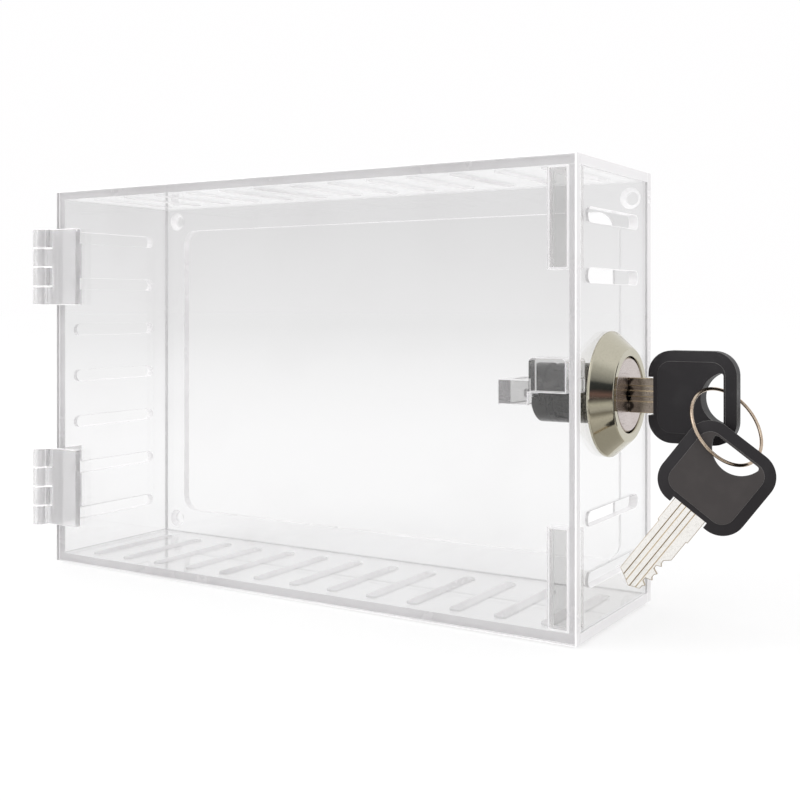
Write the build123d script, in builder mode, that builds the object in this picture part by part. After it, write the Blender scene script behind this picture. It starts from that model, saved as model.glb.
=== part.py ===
from build123d import *
import os
from math import cos, radians, sin

# A clear acrylic lock box that hangs on a wall over a thermostat. Its front is a hinged door,
# and a cam lock in its right-hand wall hooks a pin on the back of the door.
# Millimetres. X runs to the lock side, Y into the wall of the room, Z up.
# The origin is the middle of the four screw holes, on the back face.

os.makedirs("parts", exist_ok=True)

# ---- Driving sizes: the acrylic case ----
box_width = 212.0
box_height = 140.0
box_depth = 62.0
sheet = 3.0
glue_line = 0.05
door_gap = 0.2
edge_chamfer = 0.3

# Back plate
cutout_border = 12.0
cutout_corner = 6.0
screw_margin = 8.0
screw_hole_radius = 2.2
countersink_radius = 3.5

# Vent slots, which run from front to back
vent_width = 4.4
vent_length = 41.0
vent_start = 9.0
level_vent_pitch = 15.5
level_vent_count = 13
side_vent_pitch = 17.7
side_vent_count = 7
lock_side_skipped = 3

# Stop blocks in the front corners beside the lock
stop_width = 7.0
stop_depth = 5.0
stop_height = 30.0

# ---- Driving sizes: hinges ----
hinge_height = 28.6
hinge_end_margin = 14.3
hinge_side_offset = 4.5
hinge_front_offset = 3.5
knuckle_count = 4
knuckle_gap = 0.2
knuckle_radius = 2.8
hinge_pin_radius = 1.2
pin_seat_clearance = 0.02
pin_running_clearance = 0.07
leaf_thickness = 2.3
leaf_reach = 13.0
leaf_clearance = 0.3

# ---- Driving sizes: lock ----
lock_setback = 26.0
barrel_radius = 8.2
barrel_clearance = 0.1
collar_base_radius = 19.0
collar_rim = 0.8
collar_height = 6.5
collar_front_radius = 13.9
collar_edge = 0.5
collar_floor = 2.0
disc_radius = 11.2
disc_clearance = 0.3
disc_thickness = 2.3
disc_bevel = 0.5
flange_radius = 11.2
flange_thickness = 1.75
seat_gap = 0.05
running_gap = 0.1
plug_radius = 6.6
plug_clearance = 0.05
sleeve_radius = 9.2
sleeve_length = 8.5
nut_thickness = 2.9
nut_notch_count = 4
nut_notch_width = 2.4
nut_notch_depth = 0.6
stop_washer_thickness = 2.1
stop_washer_neck = 6.0
stop_lug_length = 2.0
stop_lug_margin = 2.0
lock_turn = 90.0

# Cam: a thick round plate, with a hook channel in its inner face that swallows the door's pin
cam_thickness = 5.0
cam_radius = 9.2
cam_edge = 0.5
channel_depth = 3.0
catch_pin_radius = 1.0
catch_pin_orbit = 6.9
channel_clearance = 0.25
tail_width = 6.4
tail_clearance = 0.05
tail_relief = 0.1
screw_shank_radius = 1.6
screw_shank_length = 6.4
screw_head_radius = 3.4
screw_head_height = 2.0
screw_slot_width = 0.9
screw_slot_depth = 0.9
screw_clearance = 0.05
cam_washer_radius = 4.0
cam_washer_thickness = 0.6

# Tumblers
wafer_count = 5
wafer_pitch = 2.3
first_wafer = 2.0
wafer_thickness = 0.7
wafer_width = 6.6
wafer_slot_gap = 0.1
wafer_leg_reach = 5.2
wafer_leg_height = 0.9
spring_radius = 0.58
spring_wire = 0.24
spring_turns = 5
spring_hole_radius = 0.7
spring_length = 5.1
spring_end_gap = 0.05

# Keyway and keys
keyway_width = 2.7
keyway_height = 9.9
keyway_bulge = 2.0
keyway_bulge_shift = 1.0
blade_thickness = 2.2
blade_width = 9.4
blade_root_width = 10.3
blade_length = 19.6
blade_tip = 2.6
tang_length = 9.0
tang_clearance = 0.05
shoulder_gap = 0.2
bitting_depths = (1.5, 2.2, 1.1, 2.4, 1.7)
bitting_flat = 1.0
bitting_peak = 0.6
groove_width = 1.5
groove_depth = 0.45
groove_offset = 2.1
head_length = 26.0
head_height = 27.0
head_thickness = 5.4
head_corner = 7.0
head_bevel = 3.0
head_bevel_drop = 0.7
head_face_margin = 3.1
head_face_rise = 0.2
head_recess = 1.6
head_recess_side = 0.5
head_standoff = 6.2
ring_hole_rim = 3.6
ring_hole_width = 6.5
ring_hole_height = 15.0
ring_hole_corner = 0.8

# The spare key and the ring as they hang
ring_radius = 11.9
ring_wire_radius = 0.5
ring_normal = (-0.750, 0.421, -0.510)
key_hang_height = 2.68
spare_key_hang_height = -1.94
ring_to_key = (-0.387, 0.347, 0.854)
ring_to_spare_key = (0.338, -0.419, -0.842)
spare_key_along = (0.5629, 0.2560, 0.7859)
spare_key_facing = (0.2536, -0.9585, 0.1305)

# Catch on the back of the door
catch_sheet = 3.0
catch_below_pin = 2.5
catch_above_pin = 5.0
catch_cam_gap = 0.8
catch_pin_margin = 2.3
catch_corner = 2.0
catch_pin_end_gap = 0.5
catch_block_width = 12.0
catch_block_depth = 8.5
catch_block_rise = 1.3
catch_block_height = 10.3
catch_block_corner = 1.5
catch_wall_gap = 0.9

# ---- Places worked out from the sizes ----
half_width = box_width / 2
half_height = box_height / 2
front_y = -box_depth
door_back_y = front_y + sheet
wall_front_y = door_back_y + door_gap
wall_back_y = -sheet - glue_line
wall_depth = wall_back_y - wall_front_y
wall_mid_y = (wall_front_y + wall_back_y) / 2
side_wall_height = box_height - 2 * sheet - 2 * glue_line
vent_mid_y = front_y + vent_start + vent_length / 2
lock_y = front_y + lock_setback
lock_z = 0.0
lock_axis = Axis((0, lock_y, lock_z), (1, 0, 0))

# Depths along the lock's axis, inwards from the outside of the right-hand wall
sleeve_start = sheet + seat_gap
nut_start = sleeve_start + sleeve_length + seat_gap
housing_end = nut_start + nut_thickness + seat_gap
plug_end = housing_end + running_gap
stop_washer_start = plug_end
cam_start = stop_washer_start + stop_washer_thickness + seat_gap
cam_end = cam_start + cam_thickness
tail_end = cam_end - tail_relief
cam_washer_start = cam_end + seat_gap
screw_head_start = cam_washer_start + cam_washer_thickness + seat_gap
flange_back = -(collar_floor + seat_gap)
flange_front = flange_back - flange_thickness
disc_back = flange_front - running_gap
disc_front = disc_back - disc_thickness
bore_radius = plug_radius + plug_clearance
collar_bore_radius = barrel_radius + barrel_clearance
counterbore_radius = disc_radius + disc_clearance

# Keys: the head's middle, along the lock's axis
shoulder_depth = disc_front - shoulder_gap
head_edge_depth = shoulder_depth - head_standoff
key_centre_x = half_width - head_edge_depth + head_length / 2
shoulder_x = -head_length / 2 - head_standoff
tip_x = shoulder_x - blade_length
keyway_depth = shoulder_depth + blade_length + shoulder_gap


def lock_plane(depth):
    """Plane across the lock's axis, at a depth in from the outside of the right-hand wall."""
    return Plane(origin=(half_width - depth, lock_y, lock_z), x_dir=(0, 1, 0), z_dir=(1, 0, 0))


def wafer_depths():
    """Depth of the middle of each wafer."""
    return [first_wafer + index * wafer_pitch for index in range(wafer_count)]


# ---- Back plate ----
with BuildPart() as back_plate:
    with BuildSketch(Plane.XZ):
        Rectangle(box_width, box_height)
        RectangleRounded(
            box_width - 2 * cutout_border,
            box_height - 2 * cutout_border,
            cutout_corner,
            mode=Mode.SUBTRACT,
        )
    extrude(amount=sheet)
    with Locations(Plane.XZ.offset(sheet)):
        with GridLocations(box_width - 2 * screw_margin, box_height - 2 * screw_margin, 2, 2):
            CounterSinkHole(screw_hole_radius, countersink_radius)
back_plate.part.label = "back_plate"
export_step(back_plate.part, "parts/back_plate.step")

# ---- Top and bottom walls, with a row of vent slots ----
level_vents = [
    ((index - (level_vent_count - 1) / 2) * level_vent_pitch, vent_mid_y)
    for index in range(level_vent_count)
]
for name, low_z in (("wall_top", half_height - sheet), ("wall_bottom", -half_height)):
    with BuildPart() as level_wall:
        with BuildSketch(Plane.XY.offset(low_z)):
            with Locations((0, wall_mid_y)):
                Rectangle(box_width, wall_depth)
            with Locations(*level_vents):
                SlotOverall(vent_length, vent_width, rotation=90, mode=Mode.SUBTRACT)
        extrude(amount=sheet)
    level_wall.part.label = name
    export_step(level_wall.part, f"parts/{name}.step")

# ---- Side walls: the slots beside the lock are left out on its side ----
side_vents = [
    (vent_mid_y, (index - (side_vent_count - 1) / 2) * side_vent_pitch)
    for index in range(side_vent_count)
]
skip_from = (side_vent_count - lock_side_skipped) // 2
lock_side_vents = side_vents[:skip_from] + side_vents[skip_from + lock_side_skipped :]
for name, low_x, vents in (
    ("wall_left", -half_width, side_vents),
    ("wall_right", half_width - sheet, lock_side_vents),
):
    with BuildPart() as side_wall:
        with BuildSketch(Plane.YZ.offset(low_x)):
            with Locations((wall_mid_y, 0)):
                Rectangle(wall_depth, side_wall_height)
            with Locations(*vents):
                SlotOverall(vent_length, vent_width, mode=Mode.SUBTRACT)
            if name == "wall_right":
                with Locations((lock_y, lock_z)):
                    Circle(collar_bore_radius, mode=Mode.SUBTRACT)
        extrude(amount=sheet)
    side_wall.part.label = name
    export_step(side_wall.part, f"parts/{name}.step")

# ---- Stop blocks, glued behind the door in the corners beside the lock ----
stop_right = half_width - sheet - glue_line
stop_end_z = half_height - sheet - glue_line
for name, low_z in (
    ("stop_block_upper", stop_end_z - stop_height),
    ("stop_block_lower", -stop_end_z),
):
    with BuildPart() as stop_block:
        with BuildSketch(Plane.XY.offset(low_z)):
            with Locations((stop_right, wall_front_y)):
                Rectangle(stop_width, stop_depth, align=(Align.MAX, Align.MIN))
        extrude(amount=stop_height)
        chamfer(stop_block.edges().filter_by(Axis.Z).sort_by(Axis.X)[:2], edge_chamfer)
    stop_block.part.label = name
    export_step(stop_block.part, f"parts/{name}.step")

# ---- Door ----
with BuildPart() as door_panel:
    with BuildSketch(Plane.XZ.offset(-door_back_y)):
        Rectangle(box_width, box_height)
    extrude(amount=sheet)
    chamfer(door_panel.faces().sort_by(Axis.Y)[0].edges(), edge_chamfer)
door_panel.part.label = "door_panel"
export_step(door_panel.part, "parts/door_panel.step")

# ---- Hinges: the wall leaf has the first and third knuckle, the door leaf the others ----
hinge_x = -half_width - hinge_side_offset
hinge_rise = half_height - hinge_end_margin - hinge_height / 2
hinge_y = front_y - hinge_front_offset
knuckle_length = (hinge_height - (knuckle_count - 1) * knuckle_gap) / knuckle_count
wall_leaf_x = -half_width - glue_line
wall_leaf_front = front_y + leaf_clearance
door_leaf_y = front_y - glue_line
door_leaf_left = -half_width + leaf_clearance


def knuckle_low_z(middle_z, index):
    """Lowest point of a knuckle, counted from the top of the hinge."""
    top = middle_z + hinge_height / 2
    return top - knuckle_length - index * (knuckle_length + knuckle_gap)


for side, middle_z in (("upper", hinge_rise), ("lower", -hinge_rise)):
    with BuildPart() as wall_leaf:
        with BuildSketch(Plane.XY.offset(middle_z - hinge_height / 2)):
            with Locations((wall_leaf_x, wall_leaf_front)):
                Rectangle(
                    leaf_thickness,
                    leaf_reach - leaf_clearance,
                    align=(Align.MAX, Align.MIN),
                )
        extrude(amount=hinge_height)
        for index in range(0, knuckle_count, 2):
            with BuildSketch(Plane.XY.offset(knuckle_low_z(middle_z, index))):
                with Locations((wall_leaf_x, hinge_y)):
                    Rectangle(
                        leaf_thickness,
                        wall_leaf_front - hinge_y,
                        align=(Align.MAX, Align.MIN),
                    )
                with Locations((hinge_x, hinge_y)):
                    Circle(knuckle_radius)
                    Circle(hinge_pin_radius + pin_seat_clearance, mode=Mode.SUBTRACT)
            extrude(amount=knuckle_length)
    wall_leaf.part.label = f"hinge_{side}_wall_leaf"
    export_step(wall_leaf.part, f"parts/hinge_{side}_wall_leaf.step")

    with BuildPart() as door_leaf:
        with BuildSketch(Plane.XY.offset(middle_z - hinge_height / 2)):
            with Locations((door_leaf_left, door_leaf_y)):
                Rectangle(
                    leaf_reach - leaf_clearance,
                    leaf_thickness,
                    align=(Align.MIN, Align.MAX),
                )
        extrude(amount=hinge_height)
        for index in range(1, knuckle_count, 2):
            with BuildSketch(Plane.XY.offset(knuckle_low_z(middle_z, index))):
                with Locations((hinge_x, door_leaf_y)):
                    Rectangle(
                        door_leaf_left - hinge_x,
                        leaf_thickness,
                        align=(Align.MIN, Align.MAX),
                    )
                with Locations((hinge_x, hinge_y)):
                    Circle(knuckle_radius)
                    Circle(hinge_pin_radius + pin_running_clearance, mode=Mode.SUBTRACT)
            extrude(amount=knuckle_length)
    door_leaf.part.label = f"hinge_{side}_door_leaf"
    export_step(door_leaf.part, f"parts/hinge_{side}_door_leaf.step")

    with BuildPart() as hinge_pin:
        with BuildSketch(Plane.XY.offset(middle_z - hinge_height / 2)):
            with Locations((hinge_x, hinge_y)):
                Circle(hinge_pin_radius)
        extrude(amount=hinge_height)
        chamfer(hinge_pin.edges().filter_by(GeomType.CIRCLE), edge_chamfer)
    hinge_pin.part.label = f"hinge_{side}_pin"
    export_step(hinge_pin.part, f"parts/hinge_{side}_pin.step")

# ---- Lock collar: a cone on the outside of the wall, bored for the lock's head ----
collar_back_x = half_width + glue_line
collar_front_x = half_width + collar_height
collar_floor_x = half_width + collar_floor
with BuildPart() as lock_collar:
    with BuildSketch(Plane.XY.offset(lock_z)):
        with BuildLine():
            Polyline(
                (collar_back_x, lock_y + collar_bore_radius),
                (collar_back_x, lock_y + collar_base_radius),
                (collar_back_x + collar_rim, lock_y + collar_base_radius),
                (collar_front_x - collar_edge, lock_y + collar_front_radius + collar_edge),
                (collar_front_x, lock_y + collar_front_radius),
                (collar_front_x, lock_y + counterbore_radius),
                (collar_floor_x, lock_y + counterbore_radius),
                (collar_floor_x, lock_y + collar_bore_radius),
                close=True,
            )
        make_face()
    revolve(axis=lock_axis)
lock_collar.part.label = "lock_collar"
export_step(lock_collar.part, "parts/lock_collar.step")

# ---- Lock housing: flange, barrel and the lug that stops the turn ----
lug_middle_angle = 90 + lock_turn / 2
lug_half_angle = lock_turn / 2 - stop_lug_margin
lug_reach = 2 * barrel_radius
with BuildPart() as lock_housing:
    with BuildSketch(lock_plane(housing_end)):
        Circle(barrel_radius)
    extrude(amount=housing_end - flange_back)
    with BuildSketch(lock_plane(flange_back)):
        Circle(flange_radius)
    extrude(amount=flange_thickness)
    with BuildSketch(lock_plane(housing_end + stop_lug_length)):
        Circle(barrel_radius)
        with BuildLine():
            Polyline(
                (0, 0),
                (
                    lug_reach * cos(radians(lug_middle_angle - lug_half_angle)),
                    lug_reach * sin(radians(lug_middle_angle - lug_half_angle)),
                ),
                (
                    lug_reach * cos(radians(lug_middle_angle)),
                    lug_reach * sin(radians(lug_middle_angle)),
                ),
                (
                    lug_reach * cos(radians(lug_middle_angle + lug_half_angle)),
                    lug_reach * sin(radians(lug_middle_angle + lug_half_angle)),
                ),
                close=True,
            )
        make_face(mode=Mode.INTERSECT)
    extrude(amount=stop_lug_length)
    with BuildSketch(lock_plane(housing_end + stop_lug_length)):
        Circle(bore_radius)
    extrude(amount=housing_end + stop_lug_length - flange_front, mode=Mode.SUBTRACT)
lock_housing.part.label = "lock_housing"
export_step(lock_housing.part, "parts/lock_housing.step")

# ---- Sleeve that fills the barrel's length behind the thin wall ----
with BuildPart() as lock_sleeve:
    with BuildSketch(lock_plane(sleeve_start + sleeve_length)):
        Circle(sleeve_radius)
        Circle(barrel_radius + plug_clearance, mode=Mode.SUBTRACT)
    extrude(amount=sleeve_length)
lock_sleeve.part.label = "lock_sleeve"
export_step(lock_sleeve.part, "parts/lock_sleeve.step")

# ---- Round nut that pulls the flange and the sleeve together, with notches for a spanner ----
with BuildPart() as lock_nut:
    with BuildSketch(lock_plane(nut_start + nut_thickness)):
        Circle(sleeve_radius)
        Circle(barrel_radius + plug_clearance, mode=Mode.SUBTRACT)
        with PolarLocations(sleeve_radius, nut_notch_count, start_angle=180 / nut_notch_count):
            Rectangle(2 * nut_notch_depth, nut_notch_width, mode=Mode.SUBTRACT)
    extrude(amount=nut_thickness)
lock_nut.part.label = "lock_nut"
export_step(lock_nut.part, "parts/lock_nut.step")

# ---- Plug: face disc, barrel and square tail, with the keyway and wafer slots ----
wafer_slot_width = wafer_width + 2 * wafer_slot_gap
wafer_slot_thickness = wafer_thickness + 2 * wafer_slot_gap
leg_pocket_reach = wafer_leg_reach + wafer_slot_gap
spring_y = (wafer_width / 2 + wafer_leg_reach) / 2
leg_low = spring_length / 2 + spring_end_gap
leg_high = leg_low + wafer_leg_height
pocket_low = -spring_length / 2
pocket_high = leg_high + wafer_slot_gap
with BuildPart() as lock_plug:
    with BuildSketch(lock_plane(disc_back)):
        Circle(disc_radius)
    extrude(amount=disc_thickness)
    chamfer(lock_plug.faces().sort_by(Axis.X)[-1].edges(), disc_bevel)
    with BuildSketch(lock_plane(plug_end)):
        Circle(plug_radius)
    extrude(amount=plug_end - disc_back)
    with BuildSketch(lock_plane(tail_end)):
        Rectangle(tail_width, tail_width)
    extrude(amount=tail_end - plug_end)
    with BuildSketch(lock_plane(keyway_depth)):
        Rectangle(keyway_width, keyway_height)
        with Locations((-keyway_bulge_shift, 0)):
            Circle(keyway_bulge)
    extrude(amount=keyway_depth - disc_front, mode=Mode.SUBTRACT)
    for depth in wafer_depths():
        with BuildSketch(lock_plane(depth + wafer_slot_thickness / 2)):
            Rectangle(wafer_slot_width, 4 * plug_radius)
            with Locations((0, pocket_low)):
                Rectangle(
                    leg_pocket_reach,
                    pocket_high - pocket_low,
                    align=(Align.MIN, Align.MIN),
                )
        extrude(amount=wafer_slot_thickness, mode=Mode.SUBTRACT)
        with BuildSketch(Plane.XY.offset(lock_z + pocket_low)):
            with Locations((half_width - depth, lock_y + spring_y)):
                Circle(spring_hole_radius)
        extrude(amount=spring_length, mode=Mode.SUBTRACT)
    with BuildSketch(lock_plane(tail_end)):
        Circle(screw_shank_radius + screw_clearance)
    extrude(amount=screw_shank_length, mode=Mode.SUBTRACT)
lock_plug.part.label = "lock_plug"
export_step(lock_plug.part, "parts/lock_plug.step")

# ---- Wafers: one plate in each slot, held level by the key through its window ----
with BuildPart() as lock_wafers:
    for depth in wafer_depths():
        with BuildSketch(lock_plane(depth + wafer_thickness / 2)):
            Circle(plug_radius - wafer_slot_gap)
            Rectangle(wafer_width, 4 * plug_radius, mode=Mode.INTERSECT)
            with Locations((0, leg_low)):
                Rectangle(wafer_leg_reach, wafer_leg_height, align=(Align.MIN, Align.MIN))
            Rectangle(keyway_width, keyway_height, mode=Mode.SUBTRACT)
        extrude(amount=wafer_thickness)
lock_wafers.part.label = "lock_wafers"
export_step(lock_wafers.part, "parts/lock_wafers.step")

# ---- Springs: one coil under the leg of each wafer ----
coil_radius = spring_radius - spring_wire / 2
coil_height = spring_length - spring_wire - 2 * spring_end_gap
with BuildPart() as wafer_springs:
    for depth in wafer_depths():
        coil_foot = (
            half_width - depth,
            lock_y + spring_y,
            lock_z + pocket_low + spring_end_gap + spring_wire / 2,
        )
        with BuildLine() as coil:
            Helix(coil_height / spring_turns, coil_height, coil_radius, center=coil_foot)
        with BuildSketch(Plane(origin=coil.line @ 0, z_dir=coil.line % 0)):
            Circle(spring_wire / 2)
        sweep(path=coil.line, is_frenet=True)
wafer_springs.part.label = "wafer_springs"
export_step(wafer_springs.part, "parts/wafer_springs.step")

# ---- Stop washer: its half disc meets the housing's lug at each end of the turn ----
tail_hole = tail_width + 2 * tail_clearance
with BuildPart() as stop_washer:
    with BuildSketch(lock_plane(stop_washer_start + stop_washer_thickness)):
        Circle(sleeve_radius)
        Rectangle(
            4 * sleeve_radius,
            2 * sleeve_radius,
            align=(Align.CENTER, Align.MIN),
            mode=Mode.SUBTRACT,
        )
        Circle(stop_washer_neck)
        Rectangle(tail_hole, tail_hole, mode=Mode.SUBTRACT)
    extrude(amount=stop_washer_thickness)
stop_washer.part.label = "stop_washer"
export_step(stop_washer.part, "parts/stop_washer.step")

# ---- Cam: at rest the channel's mouth faces the door, and a quarter turn closes it ----
channel_half = catch_pin_radius + channel_clearance
channel_outer = catch_pin_orbit + channel_half
channel_inner = catch_pin_orbit - channel_half
with BuildPart() as cam:
    with BuildSketch(lock_plane(cam_end)):
        Circle(cam_radius)
    extrude(amount=cam_thickness)
    chamfer(cam.edges().sort_by(Axis.X)[0], cam_edge)
    with BuildSketch(lock_plane(cam_end)):
        Rectangle(tail_hole, tail_hole)
    extrude(amount=cam_thickness, mode=Mode.SUBTRACT)
    with BuildSketch(lock_plane(cam_end)):
        Circle(channel_outer)
        Circle(channel_inner, mode=Mode.SUBTRACT)
        Rectangle(
            2 * channel_outer,
            2 * channel_outer,
            align=(Align.MAX, Align.MIN),
            mode=Mode.INTERSECT,
        )
        with Locations((0, catch_pin_orbit), (-catch_pin_orbit, 0)):
            Circle(channel_half)
        with Locations((-catch_pin_orbit, 0)):
            Rectangle(2 * cam_radius, 2 * channel_half, align=(Align.MAX, Align.CENTER))
    extrude(amount=channel_depth, mode=Mode.SUBTRACT)
cam.part.label = "cam"
export_step(cam.part, "parts/cam.step")

# ---- Washer and screw that hold the cam on the tail ----
with BuildPart() as cam_washer:
    with BuildSketch(lock_plane(cam_washer_start + cam_washer_thickness)):
        Circle(cam_washer_radius)
        Circle(screw_shank_radius + screw_clearance, mode=Mode.SUBTRACT)
    extrude(amount=cam_washer_thickness)
cam_washer.part.label = "cam_washer"
export_step(cam_washer.part, "parts/cam_washer.step")

with BuildPart() as cam_screw:
    with BuildSketch(lock_plane(screw_head_start + screw_head_height)):
        Circle(screw_head_radius)
    extrude(amount=screw_head_height)
    fillet(cam_screw.edges().group_by(Axis.X)[0], screw_slot_depth / 2)
    with BuildSketch(lock_plane(screw_head_start)):
        Circle(screw_shank_radius)
    extrude(amount=screw_shank_length)
    with BuildSketch(lock_plane(screw_head_start + screw_head_height)):
        Rectangle(screw_slot_width, 2 * screw_head_radius)
        Rectangle(2 * screw_head_radius, screw_slot_width)
        Circle(screw_head_radius - screw_slot_width, mode=Mode.INTERSECT)
    extrude(amount=screw_slot_depth, mode=Mode.SUBTRACT)
cam_screw.part.label = "cam_screw"
export_step(cam_screw.part, "parts/cam_screw.step")

# ---- Catch: a clear block glued behind the door, an arm beside the cam, and a steel pin ----
catch_arm_x = half_width - cam_end - catch_cam_gap
catch_pin_y = lock_y - catch_pin_orbit
catch_back_y = catch_pin_y + catch_pin_margin
catch_front_y = door_back_y + glue_line
catch_block_right = half_width - sheet - catch_wall_gap
catch_low_z = lock_z - catch_below_pin
catch_arm_height = catch_below_pin + catch_above_pin
with BuildPart() as door_catch:
    with BuildSketch(Plane.YZ.offset(catch_arm_x - catch_sheet)) as catch_arm:
        with Locations((catch_front_y, catch_low_z)):
            Rectangle(
                catch_back_y - catch_front_y,
                catch_arm_height,
                align=(Align.MIN, Align.MIN),
            )
        fillet(catch_arm.vertices().group_by(Axis.X)[-1], catch_corner)
        with Locations((catch_pin_y, lock_z)):
            Circle(catch_pin_radius + pin_seat_clearance, mode=Mode.SUBTRACT)
    extrude(amount=catch_sheet)
    with BuildSketch(Plane.XZ.offset(-catch_front_y)):
        with Locations((catch_arm_x - catch_sheet, catch_low_z)):
            Rectangle(
                catch_block_right - catch_block_width / 2 - catch_arm_x + catch_sheet,
                catch_arm_height,
                align=(Align.MIN, Align.MIN),
            )
        with Locations((catch_block_right - catch_block_width, catch_low_z)):
            Rectangle(
                catch_block_width,
                catch_block_rise + catch_below_pin,
                align=(Align.MIN, Align.MIN),
                mode=Mode.SUBTRACT,
            )
    extrude(amount=-catch_sheet)
    with BuildSketch(Plane.XZ.offset(-catch_front_y)) as catch_block:
        with Locations((catch_block_right, lock_z + catch_block_rise)):
            Rectangle(catch_block_width, catch_block_height, align=(Align.MAX, Align.MIN))
        fillet(catch_block.vertices().group_by(Axis.Y)[-1], catch_block_corner)
    extrude(amount=-catch_block_depth)
door_catch.part.label = "door_catch"
export_step(door_catch.part, "parts/door_catch.step")

catch_pin_inner_x = catch_arm_x - catch_sheet
catch_pin_outer_x = half_width - cam_end + channel_depth - catch_pin_end_gap
with BuildPart() as catch_pin:
    with BuildSketch(Plane.YZ.offset(catch_pin_inner_x)):
        with Locations((catch_pin_y, lock_z)):
            Circle(catch_pin_radius)
    extrude(amount=catch_pin_outer_x - catch_pin_inner_x)
    chamfer(catch_pin.edges().group_by(Axis.X)[-1], edge_chamfer)
catch_pin.part.label = "catch_pin"
export_step(catch_pin.part, "parts/catch_pin.step")

# ---- Keys: a plain moulded head over the blade's tang, and a ring hole near its far side ----
hole_outer_x = head_length / 2 - ring_hole_rim
hole_inner_x = hole_outer_x - ring_hole_width
hole_half = ring_hole_height / 2
root_half = blade_root_width / 2
blade_half = blade_width / 2
exit_x = -head_length / 2 + head_recess
tang_end_x = exit_x + tang_length


def bitting_points():
    """Lower edge of the blade, from its shoulder to its tip."""
    points = [(shoulder_x, -blade_half)]
    for index, depth in enumerate(wafer_depths()):
        cut_x = half_width - depth - key_centre_x
        cut_y = -blade_half + bitting_depths[index]
        if index == 0:
            points.append((cut_x + bitting_flat / 2 + bitting_depths[index], -blade_half))
        else:
            peak = max(points[-1][1], cut_y)
            shallow = min(points[-1][1], cut_y)
            middle_x = (points[-1][0] + cut_x + bitting_flat / 2) / 2
            points.append((middle_x, max(shallow - bitting_peak, -blade_half, peak - wafer_pitch)))
        points.append((cut_x + bitting_flat / 2, cut_y))
        points.append((cut_x - bitting_flat / 2, cut_y))
    return points


key_plane = Plane(origin=(key_centre_x, lock_y, lock_z), x_dir=(1, 0, 0), z_dir=(0, -1, 0))
hole_middle_x = (hole_outer_x + hole_inner_x) / 2
key_hang = Vector(hole_middle_x, key_hang_height, 0)
spare_key_hang = Vector(hole_middle_x, spare_key_hang_height, 0)
ring_centre = key_plane.from_local_coords(key_hang) - Vector(ring_to_key) * ring_radius
spare_key_tilt = Plane(origin=(0, 0, 0), x_dir=spare_key_along, z_dir=spare_key_facing)
spare_key_plane = Plane(
    origin=ring_centre
    + Vector(ring_to_spare_key) * ring_radius
    - spare_key_tilt.from_local_coords(spare_key_hang),
    x_dir=spare_key_along,
    z_dir=spare_key_facing,
)
slot_thickness = blade_thickness + 2 * tang_clearance

for name, plane in (("key_1", key_plane), ("key_2", spare_key_plane)):
    across_key = Axis(plane.origin, plane.z_dir)
    with BuildPart() as blade:
        with BuildSketch(plane.offset(-blade_thickness / 2)):
            with BuildLine():
                Polyline(
                    (tang_end_x, root_half),
                    (shoulder_x, root_half),
                    (shoulder_x, blade_half),
                    (tip_x + blade_tip, blade_half),
                    (tip_x, 0),
                    *reversed(bitting_points()),
                    (shoulder_x, -root_half),
                    (tang_end_x, -root_half),
                    close=True,
                )
            make_face()
        extrude(amount=blade_thickness)
        with BuildSketch(plane.offset(blade_thickness / 2 - groove_depth)):
            with Locations((tip_x, groove_offset), (tip_x, -groove_offset / 2)):
                Rectangle(exit_x - tip_x, groove_width, align=(Align.MIN, Align.CENTER))
        extrude(amount=groove_depth, mode=Mode.SUBTRACT)
        with BuildSketch(plane.offset(-blade_thickness / 2)):
            with Locations((tip_x, groove_offset / 2)):
                Rectangle(exit_x - tip_x, groove_width, align=(Align.MIN, Align.CENTER))
        extrude(amount=groove_depth, mode=Mode.SUBTRACT)
    blade.part.label = f"{name}_blade"
    export_step(blade.part, f"parts/{name}_blade.step")

    with BuildPart() as head:
        with BuildSketch(plane.offset(head_face_rise - head_thickness / 2)):
            RectangleRounded(head_length, head_height, head_corner)
        extrude(amount=head_thickness - 2 * head_face_rise)
        for side in (0, -1):
            face = head.faces().sort_by(across_key)[side]
            chamfer(face.edges(), head_bevel, head_bevel_drop, reference=face)
        with BuildSketch(plane.offset(-head_thickness / 2)):
            RectangleRounded(
                head_length - 2 * head_face_margin,
                head_height - 2 * head_face_margin,
                head_corner - head_face_margin,
            )
        extrude(amount=head_thickness)
        with BuildSketch(plane.offset(-head_thickness / 2)) as ring_hole:
            with BuildLine():
                Line((hole_outer_x, -hole_half), (hole_outer_x, hole_half))
                ThreePointArc(
                    (hole_outer_x, hole_half),
                    (hole_inner_x, 0),
                    (hole_outer_x, -hole_half),
                )
            make_face()
            fillet(ring_hole.vertices(), ring_hole_corner)
        extrude(amount=head_thickness, mode=Mode.SUBTRACT)
        with BuildSketch(plane.offset(-head_thickness / 2)):
            with Locations((-head_length / 2, 0)):
                Rectangle(2 * head_recess, blade_root_width + 2 * head_recess_side)
        extrude(amount=head_thickness, mode=Mode.SUBTRACT)
        with BuildSketch(plane.offset(-slot_thickness / 2)):
            with Locations((tang_end_x + tang_clearance, 0)):
                Rectangle(
                    head_length,
                    blade_root_width + 2 * tang_clearance,
                    align=(Align.MAX, Align.CENTER),
                )
        extrude(amount=slot_thickness, mode=Mode.SUBTRACT)
    head.part.label = f"{name}_head"
    export_step(head.part, f"parts/{name}_head.step")

# ---- Split ring through both heads ----
with BuildPart(Plane(origin=ring_centre, z_dir=ring_normal)) as key_ring:
    Torus(ring_radius, ring_wire_radius)
key_ring.part.label = "key_ring"
export_step(key_ring.part, "parts/key_ring.step")
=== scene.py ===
"""Looks of a clear acrylic lock box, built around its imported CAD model."""

from __future__ import annotations

import logging
import math
from dataclasses import dataclass, replace
from enum import Enum, IntEnum

import bmesh
import bpy
from mathutils import Matrix, Vector


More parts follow.
